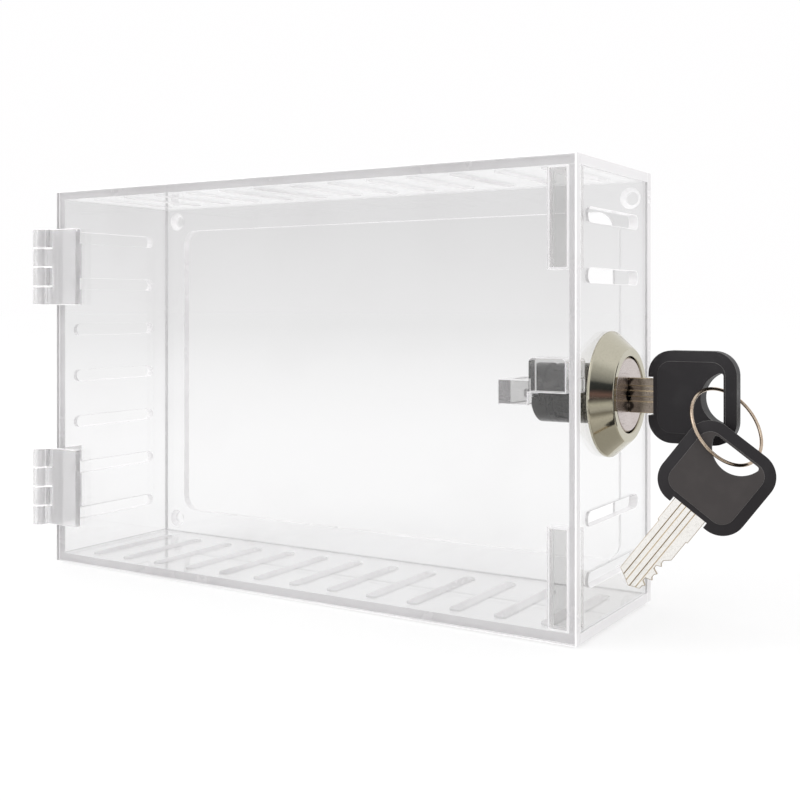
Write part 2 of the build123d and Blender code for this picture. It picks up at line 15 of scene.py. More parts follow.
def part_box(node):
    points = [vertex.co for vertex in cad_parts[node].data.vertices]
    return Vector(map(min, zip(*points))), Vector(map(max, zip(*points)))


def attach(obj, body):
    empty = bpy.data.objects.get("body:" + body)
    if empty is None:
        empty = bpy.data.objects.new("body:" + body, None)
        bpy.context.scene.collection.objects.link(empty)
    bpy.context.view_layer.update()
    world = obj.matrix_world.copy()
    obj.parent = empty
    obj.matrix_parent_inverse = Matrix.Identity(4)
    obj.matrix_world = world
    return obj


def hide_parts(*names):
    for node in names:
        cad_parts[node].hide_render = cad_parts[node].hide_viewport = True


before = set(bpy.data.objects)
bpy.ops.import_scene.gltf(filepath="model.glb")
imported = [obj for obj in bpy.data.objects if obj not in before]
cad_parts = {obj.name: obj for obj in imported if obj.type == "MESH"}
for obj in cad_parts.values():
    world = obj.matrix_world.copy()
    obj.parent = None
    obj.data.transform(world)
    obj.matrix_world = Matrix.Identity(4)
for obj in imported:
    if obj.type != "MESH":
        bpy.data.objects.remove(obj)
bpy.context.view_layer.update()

LOG = logging.getLogger("lock_box")
MM = 0.001
Colour = tuple[float, float, float]
Point = tuple[float, float, float]
Source = bpy.types.NodeSocket | float | Colour


# ---------------------------------------------------------------- shader tools


class ShaderTree:
    """A node tree with short calls for adding and joining nodes."""

    def __init__(self, tree: bpy.types.NodeTree) -> None:
        """Keeps the tree.

        Args:
            tree: the material's, world's or group's node tree.
        """
        self.tree = tree

    def node(self, kind: str, **settings: object) -> bpy.types.Node:
        """Adds a node and sets its properties.

        Args:
            kind: the node's type name.
            settings: the node's properties by name.

        Returns:
            The new node.
        """
        made = self.tree.nodes.new(kind)
        for key, value in settings.items():
            setattr(made, key, value)
        return made

    def join(self, source: bpy.types.NodeSocket, target: bpy.types.NodeSocket) -> None:
        """Links one socket to another."""
        self.tree.links.new(source, target)

    def feed(self, value: Source, target: bpy.types.NodeSocket) -> None:
        """Links a socket, or sets a plain value.

        Args:
            value: a socket, a number or a colour.
            target: the input that takes it.
        """
        if isinstance(value, bpy.types.NodeSocket):
            self.join(value, target)
        else:
            target.default_value = value

    def math(self, operation: str, *values: Source, clamp: bool = False) -> bpy.types.NodeSocket:
        """Adds a Math node.

        Args:
            operation: the name of the operation.
            values: sockets or numbers for its inputs.
            clamp: whether the result is held between 0 and 1.

        Returns:
            The result's socket.
        """
        made = self.node("ShaderNodeMath", operation=operation, use_clamp=clamp)
        for index, value in enumerate(values):
            self.feed(value, made.inputs[index])
        return made.outputs[0]

    def mix(self, factor: Source, first: Source, second: Source) -> bpy.types.NodeSocket:
        """Mixes two colours.

        Args:
            factor: the share of the second colour.
            first: a socket or a colour.
            second: a socket or a colour.

        Returns:
            The mixed colour's socket.
        """
        made = self.node("ShaderNodeMix", data_type="RGBA")
        self.feed(factor, made.inputs["Factor"])
        self.feed(_colour(first), _socket(made.inputs, "A", "RGBA"))
        self.feed(_colour(second), _socket(made.inputs, "B", "RGBA"))
        return _socket(made.outputs, "Result", "RGBA")

    def remap(
        self, value: Source, low: float, high: float, start: float = 0.0, end: float = 1.0
    ) -> bpy.types.NodeSocket:
        """Stretches a value from one range to another.

        Args:
            value: the socket to stretch.
            low: what the start becomes.
            high: what the end becomes.
            start: where the value's range starts.
            end: where the value's range ends.

        Returns:
            The result's socket.
        """
        made = self.node("ShaderNodeMapRange")
        self.feed(value, made.inputs["Value"])
        made.inputs["From Min"].default_value = start
        made.inputs["From Max"].default_value = end
        made.inputs["To Min"].default_value = low
        made.inputs["To Max"].default_value = high
        return made.outputs["Result"]

    def choose(self, factor: Source, first: Source, second: Source) -> bpy.types.NodeSocket:
        """Mixes two numbers.

        Args:
            factor: the share of the second number.
            first: a socket or a number.
            second: a socket or a number.

        Returns:
            The mixed number's socket.
        """
        made = self.node("ShaderNodeMix", data_type="FLOAT")
        self.feed(factor, made.inputs["Factor"])
        self.feed(first, _socket(made.inputs, "A", "VALUE"))
        self.feed(second, _socket(made.inputs, "B", "VALUE"))
        return _socket(made.outputs, "Result", "VALUE")


def _colour(value: Source) -> Source | tuple[float, float, float, float]:
    """Gives a colour its alpha.

    Args:
        value: a socket, a number or a colour.

    Returns:
        The colour with an alpha of 1, and a socket or a number as it is.
    """
    if isinstance(value, tuple) and len(value) == 3:
        return (*value, 1.0)
    return value


def _socket(sockets: bpy.types.NodeInputs, name: str, kind: str) -> bpy.types.NodeSocket:
    """Finds a socket by name and type, because a Mix node repeats its names."""
    return next(s for s in sockets if s.name == name and s.type == kind)


GRAIN_DETAIL = 3.0
BLOTCH_DETAIL = 2.0
BLOTCH_SCALE_SHARE = 0.12
SCRATCH_WAYS = ((0.35, (1.0, 14.0, 9.0)), (-0.9, (13.0, 1.0, 7.0)))
SCRATCH_DETAIL = 5.0
SCRATCH_THINNING = 6.0
SCRATCH_STRENGTH = 9.0
SMUDGE_DETAIL = 4.0
SMUDGE_RANGE = (0.48, 0.72)


class Effect(Enum):
    """Shader effects that several finishes share, each a node group."""

    GRAIN = "surface_grain"
    SCRATCHES = "fine_scratches"
    SMUDGES = "handling_smudges"


class EffectLibrary:
    """Builds each shared effect once, and places it in materials."""

    def __init__(self) -> None:
        """Starts with no effect built."""
        self._built: dict[Effect, bpy.types.NodeTree] = {}

    def place(self, shader: ShaderTree, effect: Effect, **values: float) -> bpy.types.Node:
        """Adds an effect to a material.

        Args:
            shader: the material's tree.
            effect: which effect.
            values: the effect's inputs by name.

        Returns:
            The group node.
        """
        if effect not in self._built:
            maker = {
                Effect.GRAIN: self._grain,
                Effect.SCRATCHES: self._scratches,
                Effect.SMUDGES: self._smudges,
            }[effect]
            self._built[effect] = maker(effect.value)
        made = shader.node("ShaderNodeGroup")
        made.node_tree = self._built[effect]
        for name, value in values.items():
            made.inputs[name].default_value = value
        return made

    @staticmethod
    def _start(
        name: str, inputs: dict[str, float], outputs: list[str]
    ) -> tuple[bpy.types.NodeTree, ShaderTree, bpy.types.Node, bpy.types.Node]:
        """Makes an empty group with its sockets.

        Args:
            name: the group's name.
            inputs: default values by input name.
            outputs: output names.

        Returns:
            The tree, its shader tools, its input node and its output node.
        """
        tree = bpy.data.node_groups.new(name, "ShaderNodeTree")
        for key, value in inputs.items():
            made = tree.interface.new_socket(key, in_out="INPUT", socket_type="NodeSocketFloat")
            made.default_value = value
        for key in outputs:
            tree.interface.new_socket(key, in_out="OUTPUT", socket_type="NodeSocketFloat")
        tools = ShaderTree(tree)
        return tree, tools, tools.node("NodeGroupInput"), tools.node("NodeGroupOutput")

    @staticmethod
    def _noise(
        tools: ShaderTree, scale: Source, detail: float, place: bpy.types.NodeSocket
    ) -> bpy.types.NodeSocket:
        """Adds a noise texture.

        Args:
            tools: the group's shader tools.
            scale: how fine the noise is.
            detail: how many finer layers it has.
            place: the coordinates that it follows.

        Returns:
            The noise's value.
        """
        made = tools.node("ShaderNodeTexNoise")
        tools.feed(scale, made.inputs["Scale"])
        made.inputs["Detail"].default_value = detail
        tools.join(place, made.inputs["Vector"])
        return made.outputs["Fac"]

    def _grain(self, name: str) -> bpy.types.NodeTree:
        """Fine even grain with broader blotches, as on moulded plastic and plated metal.

        Args:
            name: the group's name.

        Returns:
            The group.
        """
        tree, tools, inputs, outputs = self._start(name, {"Scale": 900.0}, ["Height", "Mask"])
        place = tools.node("ShaderNodeTexCoord").outputs["Object"]
        fine = self._noise(tools, inputs.outputs["Scale"], GRAIN_DETAIL, place)
        blotch_scale = tools.math("MULTIPLY", inputs.outputs["Scale"], BLOTCH_SCALE_SHARE)
        blotches = self._noise(tools, blotch_scale, BLOTCH_DETAIL, place)
        tools.join(fine, outputs.inputs["Height"])
        tools.join(blotches, outputs.inputs["Mask"])
        return tree

    def _scratches(self, name: str) -> bpy.types.NodeTree:
        """Hair scratches in two crossing directions.

        Args:
            name: the group's name.

        Returns:
            The group.
        """
        defaults = {"Scale": 60.0, "Amount": 0.5}
        tree, tools, inputs, outputs = self._start(name, defaults, ["Mask"])
        place = tools.node("ShaderNodeTexCoord").outputs["Object"]
        masks = []
        for turn, stretch in SCRATCH_WAYS:
            mapping = tools.node("ShaderNodeMapping")
            mapping.inputs["Rotation"].default_value = (turn, turn / 2, turn)
            mapping.inputs["Scale"].default_value = stretch
            tools.join(place, mapping.inputs["Vector"])
            noise = self._noise(
                tools, inputs.outputs["Scale"], SCRATCH_DETAIL, mapping.outputs["Vector"]
            )
            masks.append(tools.math("POWER", noise, SCRATCH_THINNING))
        both = tools.math("MAXIMUM", *masks)
        strong = tools.math("MULTIPLY", both, SCRATCH_STRENGTH)
        scaled = tools.math("MULTIPLY", strong, inputs.outputs["Amount"], clamp=True)
        tools.join(scaled, outputs.inputs["Mask"])
        return tree

    def _smudges(self, name: str) -> bpy.types.NodeTree:
        """Broad soft patches where hands have been.

        Args:
            name: the group's name.

        Returns:
            The group.
        """
        tree, tools, inputs, outputs = self._start(name, {"Scale": 35.0}, ["Mask"])
        place = tools.node("ShaderNodeTexCoord").outputs["Object"]
        noise = self._noise(tools, inputs.outputs["Scale"], SMUDGE_DETAIL, place)
        tools.join(tools.remap(noise, 0.0, 1.0, *SMUDGE_RANGE), outputs.inputs["Mask"])
        return tree


EFFECTS = EffectLibrary()


def new_material(name: str) -> tuple[bpy.types.Material, ShaderTree, bpy.types.Node]:
    """Starts a material.

    Args:
        name: the material's name.

    Returns:
        The material, its shader tools and its Principled BSDF.
    """
    material = bpy.data.materials.new(name)
    material.use_nodes = True
    return material, ShaderTree(material.node_tree), material.node_tree.nodes["Principled BSDF"]


def add_bump(
    shader: ShaderTree, principled: bpy.types.Node, height: bpy.types.NodeSocket, depth: float
) -> None:
    """Feeds a height to the shader's normal.

    Args:
        shader: the material's tools.
        principled: the shader that takes the normal.
        height: the height's socket.
        depth: the bump's full height, in metres.
    """
    bump = shader.node("ShaderNodeBump")
    bump.inputs["Strength"].default_value = 1.0
    bump.inputs["Distance"].default_value = depth
    shader.join(height, bump.inputs["Height"])
    shader.join(bump.outputs["Normal"], principled.inputs["Normal"])


# -------------------------------------------------------------------- finishes


@dataclass(frozen=True)
class ClearFinish:
    """Clear plastic, polished or sawn, with a painted glow on its edges: an emission that stands in
    for the light a sheet leads to them.

    Its marks are smudges and hair scratches, which are duller and take the dust's tint.
    """

    name: str
    tint: Colour
    dust_tint: Colour
    gloss: float
    haze: float
    ior: float = 1.49
    clearness: float = 1.0
    painted_glow: float = 0.0
    smudge_scale: float = 28.0
    scratch_scale: float = 45.0
    scratch_amount: float = 0.5
    scratch_share: float = 0.5
    grain_scale: float = 1500.0
    grain_depth: float = 0.0

    def build(self) -> bpy.types.Material:
        """Makes the material.

        Returns:
            The material.
        """
        material, shader, principled = new_material(self.name)
        smudges = EFFECTS.place(shader, Effect.SMUDGES, Scale=self.smudge_scale)
        scratches = EFFECTS.place(
            shader, Effect.SCRATCHES, Scale=self.scratch_scale, Amount=self.scratch_amount
        )
        marks = shader.math(
            "MULTIPLY_ADD",
            scratches.outputs["Mask"],
            self.scratch_share,
            smudges.outputs["Mask"],
            clamp=True,
        )
        shader.join(
            shader.mix(marks, self.tint, self.dust_tint), principled.inputs["Base Color"]
        )
        shader.join(
            shader.remap(marks, self.gloss, self.haze), principled.inputs["Roughness"]
        )
        principled.inputs["IOR"].default_value = self.ior
        principled.inputs["Transmission Weight"].default_value = self.clearness
        # Painted glow: an emission that makes the plastic brighter than its lighting alone would,
        # standing in for light led to its edges.
        principled.inputs["Emission Color"].default_value = (*self.tint, 1.0)
        principled.inputs["Emission Strength"].default_value = self.painted_glow
        if self.grain_depth:
            grain = EFFECTS.place(shader, Effect.GRAIN, Scale=self.grain_scale)
            add_bump(shader, principled, grain.outputs["Height"], self.grain_depth)
        return material


@dataclass(frozen=True)
class MetalFinish:
    """Plated or drawn metal, with a painted shadow line across it where one is given."""

    name: str
    colour: Colour
    worn_colour: Colour
    gloss: float
    rough: float
    grain_scale: float = 1200.0
    grain_share: float = 0.6
    grain_depth: float = 0.002 * MM
    scratch_scale: float = 220.0
    scratch_amount: float = 0.8
    painted_shadow_line: float | None = None
    painted_shadow_width: float = 1.5 * MM
    painted_shadow_core: float = 0.30
    painted_shadow_fade: float = 0.65
    painted_shadow_sway: float = 0.6 * MM
    painted_shadow_waves: float = 1500.0
    painted_shadow_colour: Colour = (0.030, 0.024, 0.020)

    def build(self) -> bpy.types.Material:
        """Makes the material.

        Returns:
            The material.
        """
        material, shader, principled = new_material(self.name)
        grain = EFFECTS.place(shader, Effect.GRAIN, Scale=self.grain_scale)
        scratches = EFFECTS.place(
            shader, Effect.SCRATCHES, Scale=self.scratch_scale, Amount=self.scratch_amount
        )
        marks = shader.math(
            "MULTIPLY_ADD",
            grain.outputs["Mask"],
            self.grain_share,
            scratches.outputs["Mask"],
            clamp=True,
        )
        colour = shader.mix(marks, self.colour, self.worn_colour)
        # Painted shadow: a dark line where the blade goes into the plug.
        if self.painted_shadow_line is not None:
            colour = shader.mix(self._painted_shadow(shader), colour, self.painted_shadow_colour)
        shader.join(colour, principled.inputs["Base Color"])
        shader.join(
            shader.remap(marks, self.gloss, self.rough), principled.inputs["Roughness"]
        )
        principled.inputs["Metallic"].default_value = 1.0
        add_bump(shader, principled, grain.outputs["Height"], self.grain_depth)
        return material

    def _painted_shadow(self, shader: ShaderTree) -> bpy.types.NodeSocket:
        """A painted shadow: a wavy dark line across the piece, at one place along X.

        Args:
            shader: the material's tools.

        Returns:
            The line's mask.
        """
        parts = shader.node("ShaderNodeSeparateXYZ")
        shader.join(shader.node("ShaderNodeTexCoord").outputs["Object"], parts.inputs[0])
        wave = shader.math("MULTIPLY", parts.outputs["Z"], self.painted_shadow_waves)
        line = shader.math(
            "MULTIPLY_ADD", shader.math("SINE", wave), self.painted_shadow_sway, self.painted_shadow_line
        )
        away = shader.math("ABSOLUTE", shader.math("SUBTRACT", parts.outputs["X"], line))
        core = self.painted_shadow_width * self.painted_shadow_core
        return shader.remap(away, 1.0, 0.0, core, self.painted_shadow_width * self.painted_shadow_fade)


@dataclass(frozen=True)
class PlasticFinish:
    """Opaque moulded plastic."""

    name: str
    colour: Colour
    worn_colour: Colour
    gloss: float
    rough: float
    grain_scale: float = 2600.0
    grain_depth: float = 0.018 * MM
    smudge_scale: float = 160.0
    specular: float = 0.5

    def build(self) -> bpy.types.Material:
        """Makes the material.

        Returns:
            The material.
        """
        material, shader, principled = new_material(self.name)
        grain = EFFECTS.place(shader, Effect.GRAIN, Scale=self.grain_scale)
        smudges = EFFECTS.place(shader, Effect.SMUDGES, Scale=self.smudge_scale)
        shader.join(
            shader.mix(smudges.outputs["Mask"], self.colour, self.worn_colour),
            principled.inputs["Base Color"],
        )
        shader.join(
            shader.remap(smudges.outputs["Mask"], self.rough, self.gloss),
            principled.inputs["Roughness"],
        )
        principled.inputs["Specular IOR Level"].default_value = self.specular
        add_bump(shader, principled, grain.outputs["Height"], self.grain_depth)
        return material


PLUG_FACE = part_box("lock_plug")[1][0]
SHEET_FACE = ClearFinish(
    name="polished_sheet_face",
    tint=(0.986, 0.986, 0.988),
    dust_tint=(0.966, 0.964, 0.966),
    gloss=0.0,
    haze=0.05,
)
# Painted shade: the clear blocks and the catch are tinted grey, standing in for the darker look that
# refraction gives them.
SHADED_BLOCK_FACE = ClearFinish(
    name="shaded_block_face",
    tint=(0.71, 0.705, 0.70),
    dust_tint=(0.64, 0.635, 0.63),
    gloss=0.0,
    haze=0.05,
)
# Sawn rim: whitish and barely clear, with a faint painted glow.
SHEET_CUT = ClearFinish(
    name="cut_sheet_edge",
    tint=(0.880, 0.868, 0.876),
    dust_tint=(0.840, 0.828, 0.836),
    gloss=0.18,
    haze=0.34,
    clearness=0.06,
    painted_glow=0.07,
    grain_depth=0.004 * MM,
)
# Slot walls: whiter than the rim, with a stronger painted glow.
GLOWING_SLOT_WALL = replace(
    SHEET_CUT, name="glowing_cut_slot_wall", tint=(0.995, 0.988, 0.992), painted_glow=0.09
)
# Painted highlight: rounded edges and hinge ends glow strongly, standing in for the light that they
# catch.
HIGHLIGHT_EDGE = replace(
    SHEET_CUT, name="painted_highlight_edge", tint=(0.995, 0.988, 0.992), painted_glow=0.26
)
HINGE_FACE = ClearFinish(
    name="clear_hinge_face",
    tint=(0.985, 0.98, 0.985),
    dust_tint=(0.95, 0.945, 0.95),
    gloss=0.03,
    haze=0.12,
    clearness=0.72,
)
SATIN_NICKEL = MetalFinish(
    name="satin_nickel",
    colour=(0.530, 0.505, 0.410),
    worn_colour=(0.480, 0.455, 0.365),
    gloss=0.05,
    rough=0.15,
)
BRIGHT_NICKEL = MetalFinish(
    name="bright_nickel",
    colour=(0.60, 0.545, 0.525),
    worn_colour=(0.50, 0.44, 0.42),
    gloss=0.20,
    rough=0.34,
)
# Painted light: the spare key's blade is the lit copy of the keys' nickel, brighter than plating.
LIT_KEY_NICKEL = MetalFinish(
    name="key_nickel",
    colour=(0.94, 0.925, 0.895),
    worn_colour=(0.86, 0.84, 0.80),
    gloss=0.10,
    rough=0.24,
)
# Painted shade: the first key's blade is a shaded copy of the same nickel, darkened where the head
# shades it and reflects darkly in it; its line at the plug face is a painted shadow.
SHADED_KEY_NICKEL = MetalFinish(
    name="shaded_key_nickel",
    colour=(0.285, 0.245, 0.205),
    worn_colour=(0.170, 0.140, 0.115),
    gloss=0.12,
    rough=0.28,
    painted_shadow_line=PLUG_FACE + 0.5 * MM,
)
KEY_CUT = MetalFinish(
    name="cut_key_edge",
    colour=(0.56, 0.46, 0.31),
    worn_colour=(0.34, 0.26, 0.17),
    gloss=0.22,
    rough=0.40,
)
# Painted shade: the housing, sleeve, nut, washer and cam are near black, standing in for the shade
# inside the box.
SHADED_LOCK_METAL = MetalFinish(
    name="shaded_lock_metal",
    colour=(0.014, 0.014, 0.013),
    worn_colour=(0.040, 0.038, 0.036),
    gloss=0.20,
    rough=0.38,
)
# Painted shade: dark walls inside the plug's keyway, where shade falls.
PAINTED_KEYWAY_SHADE = MetalFinish(
    name="painted_keyway_shade",
    colour=(0.040, 0.030, 0.026),
    worn_colour=(0.070, 0.055, 0.047),
    gloss=0.35,
    rough=0.55,
)
PIN_STEEL = MetalFinish(
    name="drawn_steel",
    colour=(0.40, 0.40, 0.41),
    worn_colour=(0.32, 0.32, 0.33),
    gloss=0.20,
    rough=0.38,
)
WAFER_BRASS = MetalFinish(
    name="stamped_brass",
    colour=(0.72, 0.56, 0.28),
    worn_colour=(0.60, 0.45, 0.22),
    gloss=0.25,
    rough=0.45,
)
RING_WIRE = MetalFinish(
    name="ring_wire",
    colour=(0.66, 0.56, 0.45),
    worn_colour=(0.42, 0.32, 0.24),
    gloss=0.10,
    rough=0.26,
)
KEY_PLASTIC = PlasticFinish(
    name="key_plastic",
    colour=(0.0170, 0.0150, 0.0172),
    worn_colour=(0.0200, 0.0180, 0.0200),
    gloss=0.36,
    rough=0.50,
    specular=0.30,
)
HEAD_PLASTIC = replace(KEY_PLASTIC, name="key_head_plastic")
# The spare key's raised field, in a lighter plastic than its border.
LIGHTER_FIELD_PLASTIC = replace(
    KEY_PLASTIC,
    name="lighter_key_field_plastic",
    colour=(0.0500, 0.0440, 0.0435),
    worn_colour=(0.0570, 0.0500, 0.0490),
)
# Painted highlight: lighter plastic on the keys' rounded rims, standing in for light caught there.
RIM_HIGHLIGHT_PLASTIC = replace(
    KEY_PLASTIC,
    name="painted_rim_highlight_plastic",
    colour=(0.1300, 0.1250, 0.1220),
    worn_colour=(0.1700, 0.1640, 0.1600),
    specular=0.50,
)


# ------------------------------------------------------------------ mesh tools


MERGE_DISTANCE = 0.002 * MM
DISSOLVE_ANGLE = math.radians(0.6)
SHARP_ANGLE = math.radians(28.0)
SHADE_ANGLE = math.radians(40.0)
FLAT_SHARE = 0.97
ROUNDED_SHARE = 0.15


def show(name: str, shape: bmesh.types.BMesh, materials: list[bpy.types.Material]) -> bpy.types.Object:
    """Makes an object of a finished bmesh, at the origin.

    Args:
        name: the piece's name.
        shape: the mesh, which is freed.
        materials: its material slots, in order.

    Returns:
        The new object.
    """
    mesh = bpy.data.meshes.new(name)
    shape.to_mesh(mesh)
    shape.free()
    for material in materials:
        mesh.materials.append(material)
    made = bpy.data.objects.new(name, mesh)
    bpy.context.scene.collection.objects.link(made)
    return made


def shade_by_angle(shape: bmesh.types.BMesh, angle: float) -> None:
    """Shades smooth, with edges over an angle kept sharp.

    Args:
        shape: the mesh.
        angle: the angle between faces from which an edge is sharp, in radians.
    """
    for face in shape.faces:
        face.smooth = True
    for edge in shape.edges:
        edge.smooth = edge.calc_face_angle(0.0) < angle


def softened(node: str, width: float, segments: int = 2) -> bmesh.types.BMesh:
    """Copies a CAD node's mesh, with its sharp edges rounded.

    Args:
        node: the CAD node.
        width: the rounding's width at most, in metres. Short edges beside it make it narrower.
        segments: faces across each rounding.

    Returns:
        The new mesh.
    """
    shape = bmesh.new()
    shape.from_mesh(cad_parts[node].data)
    for layer in list(shape.loops.layers.uv):
        shape.loops.layers.uv.remove(layer)
    bmesh.ops.remove_doubles(shape, verts=shape.verts, dist=MERGE_DISTANCE)
    bmesh.ops.dissolve_limit(
        shape, angle_limit=DISSOLVE_ANGLE, verts=shape.verts, edges=shape.edges
    )
    sharp = [
        edge
        for edge in shape.edges
        if edge.is_manifold and edge.calc_face_angle(0.0) > SHARP_ANGLE
    ]
    bmesh.ops.bevel(
        shape,
        geom=sharp,
        offset=width,
        offset_type="OFFSET",
        segments=segments,
        profile=0.5,
        affect="EDGES",
        clamp_overlap=True,
        material=-1,
    )
    for face in shape.faces:
        face.material_index = 0
    shade_by_angle(shape, SHADE_ANGLE)
    return shape


def even_normals(piece: bpy.types.Object) -> None:
    """Keeps large flat faces flat in shading, beside their rounded edges."""
    modifier = piece.modifiers.new("even_normals", "WEIGHTED_NORMAL")
    modifier.keep_sharp = True


def stand_for(piece: bpy.types.Object, body: str, slot: str, *nodes: str) -> None:
    """Seats a piece on its body, in place of CAD nodes.

    Args:
        piece: the new piece.
        body: the body it rides on.
        slot: not used.
        nodes: the CAD nodes that it stands for, at least one.
    """
    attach(piece, body)
    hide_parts(*nodes)
    LOG.info("%s rides on %s and stands for %s", piece.name, body, ", ".join(nodes))


def dress(node: str, material: bpy.types.Material) -> None:
    """Gives a CAD node that stays its material.

    Args:
        node: the CAD node.
        material: the material, for all its slots.
    """
    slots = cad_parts[node].material_slots
    if not slots:
        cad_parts[node].data.materials.append(material)
    for slot in slots:
        slot.material = material
    LOG.info("%s keeps its shape, in %s", node, material.name)


# -------------------------------------------------------------- the clear case


BLOCK_HIGHLIGHT_BORDER = 0.45 * MM


class SheetAxis(Enum):
    """The direction across a sheet's thickness."""

    X = Vector((1.0, 0.0, 0.0))
    Y = Vector((0.0, 1.0, 0.0))
    Z = Vector((0.0, 0.0, 1.0))


@dataclass(frozen=True)
class SheetPiece:
    """One sheet or block: its node and body, its polished faces and the painted highlight border round
    them.
    """

    node: str
    body: str
    axes: tuple[SheetAxis, ...]
    face: ClearFinish = SHEET_FACE
    border: float = 0.0


SHEET_PIECES = (
    SheetPiece("back_plate", "box", (SheetAxis.Y,)),
    SheetPiece("wall_top", "box", (SheetAxis.Z,)),
    SheetPiece("wall_bottom", "box", (SheetAxis.Z,)),
    SheetPiece("wall_left", "box", (SheetAxis.X,)),
    SheetPiece("wall_right", "box", (SheetAxis.X,)),
    SheetPiece("stop_block_upper", "box", (SheetAxis.X, SheetAxis.Y), SHADED_BLOCK_FACE, BLOCK_HIGHLIGHT_BORDER),
    SheetPiece("stop_block_lower", "box", (SheetAxis.X, SheetAxis.Y), SHADED_BLOCK_FACE, BLOCK_HIGHLIGHT_BORDER),
    SheetPiece("door_panel", "door", (SheetAxis.Y,)),
    SheetPiece("door_catch", "door", (SheetAxis.X, SheetAxis.Y), SHADED_BLOCK_FACE),
)


class Surface(IntEnum):
    """A sheet's kinds of surface, as its material slots' places."""

    POLISHED = 0
    SAWN = 1
    SLOT = 2
    PAINTED_HIGHLIGHT = 3
    CLEAR = 4


def sort_surfaces(shape: bmesh.types.BMesh, sheet: SheetPiece, rim: float) -> None:
    """Marks a sheet's faces: polished, sawn at its rim, cut in its slots, with a painted highlight
    where rounded.

    A block with a border gets the painted highlight at its ends too.

    Args:
        shape: the mesh.
        sheet: the piece.
        rim: how far from the piece's sides its sawn rim reaches, in metres.
    """
    low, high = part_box(sheet.node)
    across = [sum(axis.value[i] for axis in sheet.axes) > 0 for i in range(3)]
    for face in shape.faces:
        middle = face.calc_center_median()
        inner = all(across[i] or low[i] + rim < middle[i] < high[i] - rim for i in range(3))
        share = max(abs(face.normal.dot(axis.value)) for axis in sheet.axes)
        if share > FLAT_SHARE:
            face.material_index = Surface.POLISHED
        elif share > ROUNDED_SHARE or sheet.border > 0:
            face.material_index = Surface.PAINTED_HIGHLIGHT
        else:
            face.material_index = Surface.SLOT if inner else Surface.SAWN


@dataclass
class ClearCase:
    """The acrylic sheets, blocks and catch."""

    edge: float = 0.30 * MM
    rim: float = 1.2 * MM
    broad_area: float = 13.0 * MM * MM
    slot_name: str = "clear_acrylic"

    def build(self, bright: bpy.types.Material) -> None:
        """Makes every sheet and block.

        Args:
            bright: the painted highlight of rounded edges, a glowing finish.
        """
        sawn = SHEET_CUT.build()
        slot = GLOWING_SLOT_WALL.build()
        faces = {finish: finish.build() for finish in (SHEET_FACE, SHADED_BLOCK_FACE)}
        for sheet in SHEET_PIECES:
            shape = softened(sheet.node, self.edge)
            sort_surfaces(shape, sheet, self.rim)
            # Blocks get a painted highlight border round their front and back.
            if sheet.border > 0:
                self._highlight_border(shape, sheet.border)
            if sheet.node == "door_catch":
                self._clear_arm(shape)
            materials = [faces[sheet.face], sawn, slot, bright, faces[SHEET_FACE]]
            piece = show(f"{sheet.node}_sheet", shape, materials)
            even_normals(piece)
            stand_for(piece, sheet.body, self.slot_name, sheet.node)

    def _highlight_border(self, shape: bmesh.types.BMesh, width: float) -> None:
        """Paints a highlight border round a block's front and back, in the glowing edge finish.

        Args:
            shape: the block's mesh.
            width: the border's width, in metres.
        """
        broad = [
            face
            for face in shape.faces
            if abs(face.normal.y) > FLAT_SHARE and face.calc_area() > self.broad_area
        ]
        border = bmesh.ops.inset_individual(
            shape, faces=broad, thickness=width, use_even_offset=True
        )
        for face in border["faces"]:
            face.material_index = Surface.PAINTED_HIGHLIGHT

    @staticmethod
    def _clear_arm(shape: bmesh.types.BMesh) -> None:
        """Gives the catch's arm, beside the cam, clear sides and a sawn front.

        Args:
            shape: the catch's mesh.
        """
        cam_low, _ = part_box("cam")
        for face in shape.faces:
            if face.calc_center_median().x < cam_low[0]:
                across = abs(face.normal.dot(SheetAxis.X.value)) > FLAT_SHARE
                face.material_index = Surface.CLEAR if across else Surface.SAWN


# ------------------------------------------------------------------ the hinges


class HingeSurface(IntEnum):
    """A hinge's kinds of surface, as its material slots' places."""

    FACE = 0
    EDGE = 1


@dataclass
class ClearHinge:
    """One moulded hinge: two leaves and a rod."""

    side: str
    edge_radius: float = 0.28 * MM
    end_share: float = 0.30

    def build(self, face: bpy.types.Material, edge: bpy.types.Material) -> None:
        """Makes the leaves and the rod.

        Args:
            face: the clear plastic of its broad and round faces.
            edge: the painted highlight of its ends and rounded edges, a glowing finish.
        """
        for part, body in (("wall_leaf", "box"), ("door_leaf", "door"), ("pin", "box")):
            node = f"hinge_{self.side}_{part}"
            shape = softened(node, self.edge_radius)
            for piece_face in shape.faces:
                ends = abs(piece_face.normal.z) > self.end_share
                piece_face.material_index = HingeSurface.EDGE if ends else HingeSurface.FACE
            piece = show(f"{node}_moulding", shape, [face, edge])
            even_normals(piece)
            stand_for(piece, body, "hinge_plastic", node)


# -------------------------------------------------------------------- the lock


class PlugSurface(IntEnum):
    """The plug's kinds of surface, as its material slots' places."""

    METAL = 0
    KEYWAY = 1


